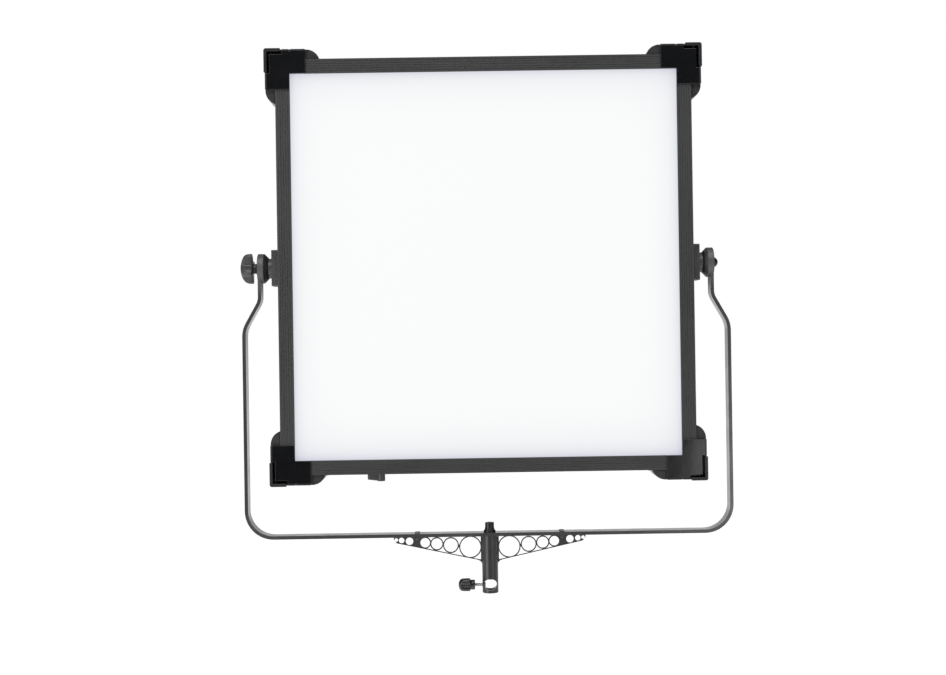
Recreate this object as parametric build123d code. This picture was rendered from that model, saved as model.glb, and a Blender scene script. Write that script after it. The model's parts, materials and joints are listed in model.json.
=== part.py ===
from build123d import *
import os

# Square LED panel light in a bent flat-bar yoke. Millimetres, +Z up.
# The origin is the centre of the spigot tube's mouth; the diffuser faces -Y and the pivot axis runs along X.

# Panel frame, about its own centre
PIVOT_Z = 573.0          # height of the pivot axis above the tube's mouth
HALF = 360.0             # half of the square frame
FRONT_Y = -38.0          # front face of the rails
RAIL_W = 25.4            # face width of a rail
RAIL_TUBE = 17.0         # width of the rail's hollow part, from the outside in
RAIL_DEPTH = 62.0        # front to back
RAIL_WALL = 2.2
LIP_T = 2.5              # front wall and the lip over the diffuser
GROOVE = 0.8             # depth and width of the face grooves
GROOVES = 5
LEDGE_V = 55.5           # ledge that carries the rear cover, behind the front face
LEDGE_T = 3.0
LEDGE_W = 7.0

# Layers behind the front face
GASKET_T = 2.0
DIFFUSER_T = 3.0
BOARD_V = 49.5
BOARD_T = 1.6
SPREADER_T = 3.0
COVER_T = 2.0
CHAMBER = HALF - RAIL_TUBE - 0.5     # half of the sheets that lie between the rails

# Corner covers and brackets, measured from the frame's outer edges
COVER_OUT = 17.0         # body beyond the frame
LIP_OUT = 19.0           # raised rim beyond the frame
COVER_LEG = 52.5         # leg length from the frame's corner
COVER_FACE = 3.0         # plate in front of the rails
SLOT_WALL = 5.4          # rim outside the accessory slot
SLOT_X = 4.4             # slot width along the upright side
SLOT_Z = 5.2             # slot width along the level side
SLOT_DEPTH = 25.0
RIM_LONG = 41.5          # rim length along the upright side
RIM_SHORT = 28.4         # rim length along the level side
STRIP_T = 6.0            # bracket strip under the cover
EAR_END = 77.0           # ear's end from the frame's corner
EAR_RUN = 23.0           # length of its curved end
EAR_R = (EAR_RUN ** 2 + COVER_OUT ** 2) / (2 * COVER_OUT)
EAR_GROOVE = 1.4         # shadow groove between ear and rail
BRACKET_V = 4.0          # bracket's front behind the rail's front
EAR_SCREW = 58.0         # ear screws from the frame's corner
EAR_SCREW_V = 33.0       # and behind the front face

# Latch lever under the bottom rail
LATCH_X = -187.0
LATCH_V = 11.5

# Pivots, distances from the middle along X
BLOCK_X = 372.6
BLOCK_HIGH = 63.0
BLOCK_DEEP = 48.0
BOSS_X = 378.8
BOSS_R = 17.5
CONE_X = 386.6           # wide end of the friction cone
PAD_X = 386.7            # inner face of the yoke's ear pad
DISC_R = 26.0
KNOB_R = 28.2            # reach of the tilt knob's lobes
EAR_IN = 392.0
BAR_T = 6.0
BAR_W = 30.0
PIVOT_R = 5.0            # M10
BLOCK_SCREWS = [(y, z) for y in (-17.0, 17.0) for z in (-25.0, 25.0)]
RUN = 0.05               # radial clearance of a running fit

# Yoke
ARM_X = 423.3            # middle of the bar, lower arm
JOGGLE_TOP = 57.0        # below the pivot
JOGGLE_END = 107.0
JOGGLE_R = (28, 46)
BAR_DROP = 470.0         # crossbar's middle below the pivot
CORNER_R = 47.0
BAR_TOP = PIVOT_Z - BAR_DROP + BAR_T / 2
BAR_LOW = BAR_TOP - BAR_T

# Spigot tube, its clamp and its cap screw
TUBE_R = 14.0
SOCKET_R = 8.1           # takes a 16 mm stud
SOCKET_DEEP = 66.0
WINDOW_W = 22.7
WINDOW_H = 19.0
CLAMP_Z = 14.0
CLAMP_R = 3.0            # M6
SCREW_R = 5.0            # M10

# Gussets: depth of the lower edge falls from the tube to the tip
GUSSET_T = 3.0
GUSSET_TIP = 168.0
GUSSET_TIP_DEPTH = 10.5
GUSSET_SLOPE = 0.2185
GUSSET_HOLES = ((34.1, 17.7), (68.2, 11.9), (92.8, 9.6), (113.2, 8.35),
                (140.6, 6.6), (154.5, 4.9), (163.6, 3.1))
GUSSET_SCREW_X = 126.5
RING = 2.0               # wall round a gusset hole
CHORD = 1.5              # gusset's upper and lower bands

# Control housing on the back
BOX_X = 150.0
BOX_Z = 90.0
BOX_FRONT = FRONT_Y + LEDGE_V + LEDGE_T + COVER_T
BOX_BACK = 72.0
BOX_WALL = 2.5
PLATE_T = 2.0
PLATE_X = 118.0
PLATE_Z = 53.0
PLATE_BACK = BOX_BACK + PLATE_T

MIDDLE = Pos(0, 0, PIVOT_Z)
os.makedirs("parts", exist_ok=True)


def save(node, shape):
    export_step(shape, "parts/" + node + ".step")


def slab(x0, x1, y0, y1, z0, z1):
    """Box between two corners."""
    return Pos((x0 + x1) / 2, (y0 + y1) / 2, (z0 + z1) / 2) * Box(x1 - x0, y1 - y0, z1 - z0)


def rod_x(r, x0, x1, y=0.0, z=0.0):
    """Cylinder along X."""
    return Pos((x0 + x1) / 2, y, z) * Rot(0, 90, 0) * Cylinder(r, abs(x1 - x0))


def rod_y(r, y0, y1, x=0.0, z=0.0):
    """Cylinder along Y."""
    return Pos(x, (y0 + y1) / 2, z) * Rot(90, 0, 0) * Cylinder(r, abs(y1 - y0))


def rod_z(r, z0, z1, x=0.0, y=0.0):
    """Cylinder along Z."""
    return Pos(x, y, (z0 + z1) / 2) * Cylinder(r, abs(z1 - z0))


def group(shapes):
    """Separate solids kept together in one node."""
    return Compound(children=list(shapes))


def depth(v):
    """Y of a plane that lies v behind the front face."""
    return FRONT_Y + v


# ---------------------------------------------------------------- frame rails

def ledge_spots():
    return [k * 150.0 for k in (-2, -1, 0, 1, 2)]


def bottom_rail():
    """Hollow rail with a front lip, a rear ledge and grooved faces, mitred at 45 degrees."""
    low = -HALF
    rail = slab(-HALF, HALF, depth(0), depth(RAIL_DEPTH), low, low + RAIL_TUBE)
    rail -= slab(-HALF - 1, HALF + 1, depth(LIP_T), depth(RAIL_DEPTH - RAIL_WALL),
                 low + RAIL_WALL, low + RAIL_TUBE - RAIL_WALL)
    rail += slab(-HALF, HALF, depth(0), depth(LIP_T), low + RAIL_TUBE, low + RAIL_W)
    rail += slab(-HALF, HALF, depth(LEDGE_V), depth(LEDGE_V + LEDGE_T),
                 low + RAIL_TUBE, low + RAIL_TUBE + LEDGE_W)
    pitch = RAIL_W / (GROOVES + 1)
    for k in range(GROOVES):
        z = low + pitch * (k + 1)
        rail -= slab(-HALF - 1, HALF + 1, depth(-1), depth(GROOVE), z - GROOVE / 2, z + GROOVE / 2)
    for v in (12.0, 31.0, 50.0):
        rail -= slab(-HALF - 1, HALF + 1, depth(v - 1.5), depth(v + 1.5), low - 1, low + GROOVE)
    for x in ledge_spots():
        z = low + RAIL_TUBE + LEDGE_W / 2
        rail -= rod_y(1.7, depth(LEDGE_V) - 1, depth(LEDGE_V + LEDGE_T) + 1, x, z)
    for side in (-1, 1):
        rail -= rod_z(2.0, low - 1, low + RAIL_WALL + 1, side * (HALF - EAR_SCREW), depth(EAR_SCREW_V))
    mitre = Plane.XZ * make_face(Polyline((-HALF - 1, low - 1), (HALF + 1, low - 1), (0, 0), close=True))
    return rail & extrude(mitre, 200, both=True)


def side_rail(turn):
    """Upright rail with the four screw holes of its pivot block."""
    rail = Rot(0, turn, 0) * bottom_rail()
    side = 1 if rail.center().X > 0 else -1
    for y, z in BLOCK_SCREWS:
        rail -= rod_x(2.5, side * (HALF - RAIL_WALL - 1), side * (HALF + 1), y, z)
    return rail


def make_rails():
    bottom = bottom_rail() - rod_z(2.0, -HALF - 1, -HALF + RAIL_WALL + 1, LATCH_X, depth(LATCH_V))
    save("rail_bottom", MIDDLE * bottom)
    save("rail_top", MIDDLE * Rot(0, 180, 0) * bottom_rail())
    save("rail_left", MIDDLE * side_rail(90))
    save("rail_right", MIDDLE * side_rail(-90))


# ---------------------------------------------------------------- corners

def corner_cover():
    """L-shaped cover for the upper right corner, with an L-shaped slot for sliding in front accessories."""
    out = HALF + COVER_OUT
    rim = HALF + LIP_OUT
    leg = HALF - COVER_LEG
    inner = HALF - RAIL_W
    strip = HALF + STRIP_T
    front = depth(-COVER_FACE)
    back = depth(RAIL_DEPTH)
    cover = slab(leg, out, front, depth(0), inner, out) + slab(inner, out, front, depth(0), leg, out)
    cover += slab(leg, out, front, depth(BRACKET_V), HALF, out)
    cover += slab(HALF, out, front, depth(BRACKET_V), leg, out)
    cover += slab(leg, out, front, back, strip, out) + slab(strip, out, front, back, leg, out)
    corner = cover.edges().filter_by(Axis.Y).sort_by(lambda e: e.center().X + e.center().Z)
    cover = fillet(corner[-1], 5)
    inside = [e for e in cover.edges().filter_by(Axis.Y)
              if abs(e.center().X - inner) < 0.1 and abs(e.center().Z - inner) < 0.1]
    cover = fillet(inside, 1.5)
    flange = slab(rim - RIM_SHORT, rim, front, depth(SLOT_DEPTH + 4), rim - SLOT_WALL, rim)
    flange += slab(rim - SLOT_WALL, rim, front, depth(SLOT_DEPTH + 4), rim - RIM_LONG, rim)
    edges = flange.edges().filter_by(Axis.Y).sort_by(lambda e: e.center().X + e.center().Z)
    cover += fillet(edges[-1], 4)
    deep = depth(SLOT_DEPTH - COVER_FACE)
    far = rim - SLOT_WALL
    cover -= slab(rim - RIM_SHORT - 3, far, front - 1, deep, far - SLOT_Z, far)
    cover -= slab(far - SLOT_X, far, front - 1, deep, rim - RIM_LONG - 2, far)
    step = front + 3.5
    cover -= slab(rim - RIM_SHORT - 3, rim - RIM_SHORT, front - 1, step, far - 2.6, rim + 1)
    cover -= slab(rim - RIM_SHORT - 18, rim - RIM_SHORT - 15, front - 1, step, far - 0.1, rim + 1)
    cover -= slab(far - 2.6, rim + 1, front - 1, step, rim - RIM_LONG - 2, rim - RIM_LONG)
    return cover


def ear_profile():
    """Ear outline in the XZ plane, above the rail, ending in an arc."""
    leg = HALF - COVER_LEG - 0.1
    tip = HALF - EAR_END + EAR_RUN
    top = HALF + COVER_OUT
    outline = Polyline((HALF - EAR_END, HALF), (leg, HALF), (leg, top), (tip, top))
    outline += RadiusArc((tip, top), (HALF - EAR_END, HALF), -EAR_R)
    return make_face(outline)


def corner_bracket():
    """Corner casting behind the cover: two ears, the strip joining them and a plate on the rails' backs."""
    leg = HALF - COVER_LEG
    strip = HALF + STRIP_T
    front = depth(BRACKET_V + 0.1)
    back = depth(RAIL_DEPTH)
    face = Plane.XZ * ear_profile()
    lump = extrude(face, amount=-(back - front))
    lump = Pos(0, front, 0) * lump
    flip = mirror(lump, Plane(origin=(0, 0, 0), z_dir=(1, 0, -1)))
    bracket = lump + flip
    bracket -= slab(HALF - EAR_END - 1, leg, front - 1, front + 3, HALF - 1, HALF + EAR_GROOVE)
    bracket -= slab(HALF - 1, HALF + EAR_GROOVE, front - 1, front + 3, HALF - EAR_END - 1, leg)
    bracket += slab(leg - 0.2, strip - 0.1, front, back, HALF, strip - 0.1)
    bracket += slab(HALF, strip - 0.1, front, back, leg - 0.2, strip - 0.1)
    plate = slab(HALF - EAR_END, strip - 0.1, back, back + 2, HALF - RAIL_TUBE, strip - 0.1)
    plate += slab(HALF - RAIL_TUBE, strip - 0.1, back, back + 2, HALF - EAR_END, strip - 0.1)
    bracket += plate
    x = HALF - EAR_SCREW
    top = HALF + COVER_OUT
    y = depth(EAR_SCREW_V)
    bracket -= rod_z(2.0, HALF - 1, top + 1, x, y) + rod_z(4.6, top - 6, top + 1, x, y)
    bracket -= rod_x(2.0, HALF - 1, top + 1, y, x) + rod_x(4.6, top - 6, top + 1, y, x)
    return bracket


def ear_screw():
    """Socket cap screw of the upper right corner's level ear, pointing down into the rail."""
    x = HALF - EAR_SCREW
    y = depth(EAR_SCREW_V)
    top = HALF + COVER_OUT
    screw = rod_z(2.0, HALF - RAIL_WALL, top - 6, x, y) + rod_z(4.2, top - 6, top - 2.4, x, y)
    return screw - Pos(x, y, top - 3.4) * extrude(RegularPolygon(1.9, 6), 2)


def four_corners(shape):
    """The upper right corner's piece and its three mirror images."""
    left = mirror(shape, Plane.YZ)
    return {"top_right": shape, "top_left": left,
            "bottom_right": mirror(shape, Plane.XY), "bottom_left": mirror(left, Plane.XY)}


def make_corners():
    for place, shape in four_corners(corner_cover()).items():
        save("corner_cover_" + place, MIDDLE * shape)
    for place, shape in four_corners(corner_bracket()).items():
        save("corner_bracket_" + place, MIDDLE * shape)
    level = ear_screw()
    upright = mirror(level, Plane(origin=(0, 0, 0), z_dir=(1, 0, -1)))
    screws = [MIDDLE * s for piece in (level, upright) for s in four_corners(piece).values()]
    save("corner_screws", group(screws))


# ---------------------------------------------------------------- light engine

def ring(half, wall, y0, y1):
    inner = half - wall
    return slab(-half, half, y0, y1, -half, half) - slab(-inner, inner, y0 - 1, y1 + 1, -inner, inner)


def led_spots():
    pitch = 2 * CHAMBER / 8
    return [(pitch * (i - 3.5), pitch * (k - 3.5)) for i in range(8) for k in range(8)]


def rear_cover():
    """Back sheet with two fields of cooling slots, a wire hole and screw holes."""
    y0 = depth(LEDGE_V + LEDGE_T)
    sheet = slab(-CHAMBER, CHAMBER, y0, y0 + COVER_T, -CHAMBER, CHAMBER)
    for side in (-1, 1):
        for k in range(12):
            z = side * (135.0 + 14.0 * k)
            slot = SlotOverall(220, 5)
            for x in (-130.0, 130.0):
                sheet -= Pos(x, y0 + COVER_T + 1, z) * Rot(90, 0, 0) * extrude(slot, COVER_T + 2)
    sheet -= rod_y(9, y0 - 1, y0 + COVER_T + 1, 0, 40)
    for x, z in cover_screw_spots():
        sheet -= rod_y(1.8, y0 - 1, y0 + COVER_T + 1, x, z)
    return sheet


def cover_screw_spots():
    edge = HALF - RAIL_TUBE - LEDGE_W / 2
    level = [(s, side * edge) for s in ledge_spots() for side in (-1, 1)]
    upright = [(side * edge, s) for s in ledge_spots() for side in (-1, 1)]
    return level + upright


def cover_screw(x, z):
    y0 = depth(LEDGE_V)
    y1 = depth(LEDGE_V + LEDGE_T + COVER_T)
    head = rod_y(3.2, y1, y1 + 2.0, x, z)
    head = chamfer(head.edges().filter_by(GeomType.CIRCLE).sort_by(Axis.Y)[-1], 0.8)
    head -= slab(x - 2.2, x + 2.2, y1 + 1.1, y1 + 3, z - 0.35, z + 0.35)
    head -= slab(x - 0.35, x + 0.35, y1 + 1.1, y1 + 3, z - 2.2, z + 2.2)
    return rod_y(1.65, y0, y1, x, z) + head


def make_light_engine():
    v = LIP_T
    save("diffuser_gasket", MIDDLE * ring(CHAMBER, 6.0, depth(v), depth(v + GASKET_T)))
    v += GASKET_T
    save("diffuser", MIDDLE * slab(-CHAMBER, CHAMBER, depth(v), depth(v + DIFFUSER_T), -CHAMBER, CHAMBER))
    v += DIFFUSER_T
    walls = ring(CHAMBER, 2.0, depth(v), depth(BOARD_V)) + ring(CHAMBER, 8.0, depth(v), depth(v + 1.5))
    save("reflector_walls", MIDDLE * walls)
    side = CHAMBER - 2.0
    boards = [slab(min(0, sx * side) + 1, max(0, sx * side) - 1, depth(BOARD_V), depth(BOARD_V + BOARD_T),
                   min(0, sz * side) + 1, max(0, sz * side) - 1) for sx in (-1, 1) for sz in (-1, 1)]
    save("led_boards", group(MIDDLE * b for b in boards))
    chips = [slab(x - 3, x + 3, depth(BOARD_V - 1.4), depth(BOARD_V), z - 3, z + 3) for x, z in led_spots()]
    save("led_emitters", group(MIDDLE * c for c in chips))
    plate_v = BOARD_V + BOARD_T
    spreader = slab(-CHAMBER, CHAMBER, depth(plate_v), depth(plate_v + SPREADER_T), -CHAMBER, CHAMBER)
    for k in range(12):
        x = -302.5 + 55.0 * k
        spreader += slab(x - 1, x + 1, depth(plate_v + SPREADER_T), depth(LEDGE_V + 2), -300, 300)
    save("heat_spreader", MIDDLE * spreader)
    save("rear_cover", MIDDLE * rear_cover())
    save("rear_cover_screws", group(MIDDLE * cover_screw(x, z) for x, z in cover_screw_spots()))


# ---------------------------------------------------------------- control housing

DISPLAY = (68.0, 24.0, 56.0, 26.0)
KNOBS = {"dimmer_knob": (14.0, 24.0), "colour_knob": (-26.0, 24.0)}
BUTTONS = {"menu_button": (-62.0, 32.0), "mode_button": (-62.0, 15.0)}
INLET = (82.0, -26.0)
SWITCH = (38.0, -26.0)
DATA = ((-8.0, -26.0), (-52.0, -26.0))
PLATE_SCREWS = [(sx * 110.0, sz * 46.0) for sx in (-1, 1) for sz in (-1, 1)]
BOX_SCREWS = [(sx * 158.0, sz * 60.0) for sx in (-1, 1) for sz in (-1, 1)]
ROCKER_R = 9.0
ROCKER_W = 11.0
ROCKER_TILT = 8.0


def control_housing():
    """Shell on the rear cover, with side flanges and an opening behind the control plate."""
    shell = slab(-BOX_X, BOX_X, BOX_FRONT, BOX_BACK, -BOX_Z, BOX_Z)
    shell = fillet(shell.edges().filter_by(Axis.Y), 10)
    shell = fillet(shell.faces().sort_by(Axis.Y)[-1].edges(), 5)
    shell -= slab(BOX_WALL - BOX_X, BOX_X - BOX_WALL, BOX_FRONT - 1, BOX_BACK - BOX_WALL,
                  BOX_WALL - BOX_Z, BOX_Z - BOX_WALL)
    shell -= slab(5 - PLATE_X, PLATE_X - 5, BOX_FRONT, BOX_BACK + 1, 10 - PLATE_Z, PLATE_Z - 10)
    flange = slab(-168, 168, BOX_FRONT, BOX_FRONT + 2.5, -75, 75)
    flange -= slab(1 - BOX_X, BOX_X - 1, 0, 100, -80, 80)
    shell += flange
    for x, z in BOX_SCREWS:
        shell -= rod_y(1.8, BOX_FRONT - 1, BOX_FRONT + 4, x, z)
    for side in (-1, 1):
        for k in range(9):
            x = side * 20.0 + side * 12.0 * k
            shell -= slab(x - 2, x + 2, BOX_FRONT + 14, BOX_BACK - 14, -BOX_Z - 1, BOX_Z + 1)
    return shell


def control_plate():
    plate = slab(-PLATE_X, PLATE_X, BOX_BACK, PLATE_BACK, -PLATE_Z, PLATE_Z)
    plate = fillet(plate.edges().filter_by(Axis.Y), 6)
    x, z, w, h = DISPLAY
    plate -= slab(x - w / 2, x + w / 2, BOX_BACK - 1, PLATE_BACK + 1, z - h / 2, z + h / 2)
    for x, z in KNOBS.values():
        plate -= rod_y(3.0 + RUN, BOX_BACK - 1, PLATE_BACK + 1, x, z)
    for x, z in BUTTONS.values():
        plate -= rod_y(4.6, BOX_BACK - 1, PLATE_BACK + 1, x, z)
    for x, z in (INLET,) + DATA:
        plate -= rod_y(12.1, BOX_BACK - 1, PLATE_BACK + 1, x, z)
    x, z = SWITCH
    plate -= slab(x - 7.5, x + 7.5, BOX_BACK - 1, PLATE_BACK + 1, z - 11.5, z + 11.5)
    for x, z in PLATE_SCREWS:
        plate -= rod_y(1.5, BOX_BACK - 1, PLATE_BACK + 1, x, z)
    return plate


def control_knob(x, z):
    """Ribbed encoder knob with a skirt and its shaft."""
    base = PLATE_BACK + 0.5
    knob = rod_y(12.0, base, base + 3, x, z) + rod_y(10.0, base + 3, base + 15, x, z)
    knob = chamfer(knob.edges().filter_by(GeomType.CIRCLE).sort_by(Axis.Y)[-1], 1.0)
    for k in range(18):
        rib = Rot(0, 20.0 * k, 0) * slab(9.4, 11, base + 4.5, base + 16, -0.6, 0.6)
        knob -= Pos(x, 0, z) * rib
    return knob + rod_y(3.0, 64.0, base + 1, x, z)


def push_button(x, z):
    cap = rod_y(4.45, BOX_BACK - 0.4, PLATE_BACK + 2.2, x, z)
    cap = fillet(cap.edges().filter_by(GeomType.CIRCLE).sort_by(Axis.Y)[-1], 0.8)
    return cap + rod_y(5.8, BOX_BACK - 1.6, BOX_BACK - 0.3, x, z)


def switch_frame():
    x, z = SWITCH
    frame = slab(x - 9.5, x + 9.5, PLATE_BACK, PLATE_BACK + 1.5, z - 13.5, z + 13.5)
    frame += slab(x - 7.4, x + 7.4, 60, PLATE_BACK, z - 11.4, z + 11.4)
    return frame - slab(x - 5.9, x + 5.9, 62, PLATE_BACK + 2, z - 9.5, z + 9.5)


def power_rocker():
    """Rocker with a V-shaped top, tipped to its off side; its ends are arcs about the pivot."""
    x, z = SWITCH
    y = PLATE_BACK - 3
    drum = rod_x(ROCKER_R, x - ROCKER_W / 2, x + ROCKER_W / 2, y, z)
    drum -= slab(x - 10, x + 10, y - 12, y - 3, z - 12, z + 12)
    for side in (-1, 1):
        half = slab(-10, 10, 2.8, 20, min(0, side * 14), max(0, side * 14))
        drum -= Pos(x, y, z) * Rot(side * ROCKER_TILT, 0, 0) * half
    return Pos(x, y, z) * Rot(-ROCKER_TILT, 0, 0) * Pos(-x, -y, -z) * drum


def round_socket(x, z, pins, insert):
    """Flanged round connector; the inlet is a cup with pins, a data socket has a pierced insert."""
    body = rod_y(12.0, 50, PLATE_BACK, x, z)
    flange = slab(x - 13, x + 13, PLATE_BACK, PLATE_BACK + 2, z - 15, z + 15)
    body += fillet(flange.edges().filter_by(Axis.Y), 3)
    mouth = PLATE_BACK + 2
    body -= rod_y(9.5, mouth - 13, mouth + 1, x, z)
    spots = [Rot(0, 360.0 / pins * k + 45, 0) * Pos(5.2, 0, 0) for k in range(pins)]
    posts = [Pos(x, 0, z) * s * rod_y(1.2, mouth - 13, mouth - 2) for s in spots]
    if insert:
        body += rod_y(8.9, mouth - 13.2, mouth - 1, x, z)
        for post in posts:
            body -= post + Pos(0, 4, 0) * post
        return group([body])
    return group([body] + posts)


def control_board():
    """Circuit board with the two encoders and the two tactile switches."""
    board = slab(-100, 100, 56, 57.6, 3, 42)
    for x, z in KNOBS.values():
        encoder = slab(x - 6, x + 6, 57.6, 69.0, z - 6, z + 6)
        board += encoder - rod_y(3.0 + RUN, 63.9, 70, x, z)
    for x, z in BUTTONS.values():
        board += slab(x - 3, x + 3, 57.6, 69.0, z - 3, z + 3)
    return board


def power_supply():
    case = slab(-130, 130, 26, 62, 56, 84)
    for k in range(10):
        x = -108.0 + 24.0 * k
        case -= slab(x - 3, x + 3, 61, 63, 60, 80)
    return case


def driver_board():
    board = slab(-130, 130, 30, 31.6, -84, -54)
    for k in range(6):
        x = -105.0 + 42.0 * k
        board += slab(x - 9, x + 9, 31.6, 44, -80, -62)
        board += rod_y(4.5, 31.6, 50, x + 20, -70)
    return board


def small_screw(x, z, y, shaft):
    head = rod_y(2.9, y, y + 1.8, x, z)
    head = chamfer(head.edges().filter_by(GeomType.CIRCLE).sort_by(Axis.Y)[-1], 0.7)
    head -= slab(x - 2, x + 2, y + 1.0, y + 3, z - 0.3, z + 0.3)
    head -= slab(x - 0.3, x + 0.3, y + 1.0, y + 3, z - 2, z + 2)
    return head + rod_y(1.4, y - shaft, y, x, z)


def make_controls():
    housing = control_housing()
    for x, z in PLATE_SCREWS:
        housing -= rod_y(1.45, 60, BOX_BACK + 1, x, z)
    save("control_housing", MIDDLE * housing)
    save("control_plate", MIDDLE * control_plate())
    screws = [small_screw(x, z, PLATE_BACK, 4) for x, z in PLATE_SCREWS]
    screws += [small_screw(x, z, BOX_FRONT + 2.5, 2.5) for x, z in BOX_SCREWS]
    save("control_screws", group(MIDDLE * s for s in screws))
    x, z, w, h = DISPLAY
    glass = slab(x - w / 2 - 3, x + w / 2 + 3, BOX_BACK - 1.6, BOX_BACK, z - h / 2 - 3, z + h / 2 + 3)
    save("display_window", MIDDLE * glass)
    for node, (x, z) in KNOBS.items():
        save(node, MIDDLE * control_knob(x, z))
    for node, (x, z) in BUTTONS.items():
        save(node, MIDDLE * push_button(x, z))
    save("power_switch_frame", MIDDLE * switch_frame())
    save("power_rocker", MIDDLE * power_rocker())
    save("power_inlet", MIDDLE * round_socket(*INLET, 4, False))
    save("data_sockets", MIDDLE * group([round_socket(x, z, 5, True) for x, z in DATA]))
    save("control_board", MIDDLE * control_board())
    save("power_supply", MIDDLE * power_supply())
    save("driver_board", MIDDLE * driver_board())


# ---------------------------------------------------------------- pivots

def pivot_block(side):
    """Block on a side rail with its round boss, bored for the pivot screw."""
    block = slab(HALF, BLOCK_X, -BLOCK_DEEP / 2, BLOCK_DEEP / 2, -BLOCK_HIGH / 2, BLOCK_HIGH / 2)
    block = fillet(block.edges().filter_by(Axis.X), 2)
    block = chamfer(block.faces().sort_by(Axis.X)[-1].edges(), 0.6)
    block += rod_x(BOSS_R, BLOCK_X - 1, BOSS_X)
    block -= rod_x(PIVOT_R + RUN, HALF - 1, BOSS_X + 1)
    for y, z in BLOCK_SCREWS:
        block -= rod_x(2.5, HALF - 1, BLOCK_X + 1, y, z) + rod_x(4.6, BLOCK_X - 5, BLOCK_X + 1, y, z)
    return block if side > 0 else mirror(block, Plane.YZ)


def block_screw(y, z):
    screw = rod_x(2.5, HALF - RAIL_WALL, BLOCK_X - 5, y, z) + rod_x(4.4, BLOCK_X - 5, BLOCK_X - 0.5, y, z)
    return screw - rod_x(2.0, BLOCK_X - 2.5, BLOCK_X, y, z)


def star_knob():
    """Four-lobed grip with a domed end and a neck, along X from the washer outwards."""
    neck = 7.6
    long = 29.4
    grip = Circle(KNOB_R)
    for k in range(4):
        grip -= Rot(0, 0, 45 + 90 * k) * Pos(30, 0) * Circle(15.5)
    solid = extrude(Plane.YZ * grip, long - neck)
    solid = fillet(solid.edges().filter_by(Axis.X), 3)
    dome = 46.25
    solid = (Pos(neck, 0, 0) * solid) & (Pos(long - dome, 0, 0) * Sphere(dome))
    return Rot(22, 0, 0) * (solid + rod_x(8.75, 0, neck + 1))


def make_pivots():
    save("pivot_block_right", MIDDLE * pivot_block(1))
    save("pivot_block_left", MIDDLE * pivot_block(-1))
    disc = Pos((BOSS_X + CONE_X) / 2, 0, 0) * Rot(0, 90, 0) * Cone(BOSS_R, DISC_R - 0.4, CONE_X - BOSS_X)
    disc -= rod_x(PIVOT_R + RUN, BOSS_X - 1, CONE_X + 1)
    save("friction_disc_right", MIDDLE * disc)
    save("friction_disc_left", MIDDLE * mirror(disc, Plane.YZ))
    screws = [block_screw(y, z) for y, z in BLOCK_SCREWS]
    screws += [mirror(s, Plane.YZ) for s in screws]
    save("pivot_block_screws", group(MIDDLE * s for s in screws))
    head_x = EAR_IN + BAR_T + 0.1
    dome = 9.2
    high = 9.5
    head = rod_x(9.0, head_x, head_x + high) & (Pos(head_x + high - dome, 0, 0) * Sphere(dome))
    head -= Pos(head_x + 5, 0, 0) * extrude(Plane.YZ * RegularPolygon(3.4, 6), 5)
    save("pivot_bolt", MIDDLE * (rod_x(PIVOT_R, HALF + 4, head_x) + head))
    washer_x = EAR_IN + BAR_T + 0.1
    washer = rod_x(10, washer_x, washer_x + 1.5) - rod_x(PIVOT_R + RUN, washer_x - 1, washer_x + 3)
    save("tilt_washer", MIDDLE * mirror(washer, Plane.YZ))
    knob_x = washer_x + 1.6
    knob = Pos(knob_x, 0, 0) * star_knob() - rod_x(PIVOT_R, knob_x - 1, knob_x + 18)
    save("tilt_knob", MIDDLE * mirror(knob, Plane.YZ))
    save("tilt_screw", MIDDLE * mirror(rod_x(PIVOT_R, HALF + 4, knob_x + 18), Plane.YZ))


# ---------------------------------------------------------------- latch under the bottom rail

def make_latch():
    """Small lever that turns about an upright screw: a round hub and an arm along the rail."""
    y = depth(LATCH_V)
    top = -HALF - 0.1
    hub = rod_z(6.9, top - 12.5, top, LATCH_X, y)
    hub = fillet(hub.edges().filter_by(GeomType.CIRCLE).sort_by(Axis.Z)[0], 1.5)
    end = LATCH_X - 23.5
    side = Polyline((end, top), (LATCH_X, top), (LATCH_X, top - 12.2), (end, top - 9.4), close=True)
    arm = extrude(Plane.XZ * make_face(side), 5, both=True)
    arm = Pos(0, y, 0) * arm
    ends = arm.faces().sort_by(Axis.X)[0].edges().filter_by(Axis.Z)
    arm = fillet(ends, 4)
    arm = fillet(arm.faces().sort_by(Axis.Z)[0].edges(), 1.2)
    lever = hub + arm
    lever -= rod_z(2.0 + RUN, top - 20, top + 1, LATCH_X, y) + rod_z(4.3, top - 13, top - 8.5, LATCH_X, y)
    save("latch_lever", MIDDLE * lever)
    screw = rod_z(2.0, top - 8.6, -HALF + RAIL_WALL, LATCH_X, y)
    screw += rod_z(4.0, top - 12.0, top - 8.6, LATCH_X, y)
    screw -= slab(LATCH_X - 5, LATCH_X + 5, y - 0.6, y + 0.6, top - 13, top - 11)
    save("latch_screw", MIDDLE * screw)


# ---------------------------------------------------------------- yoke and spigot

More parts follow.
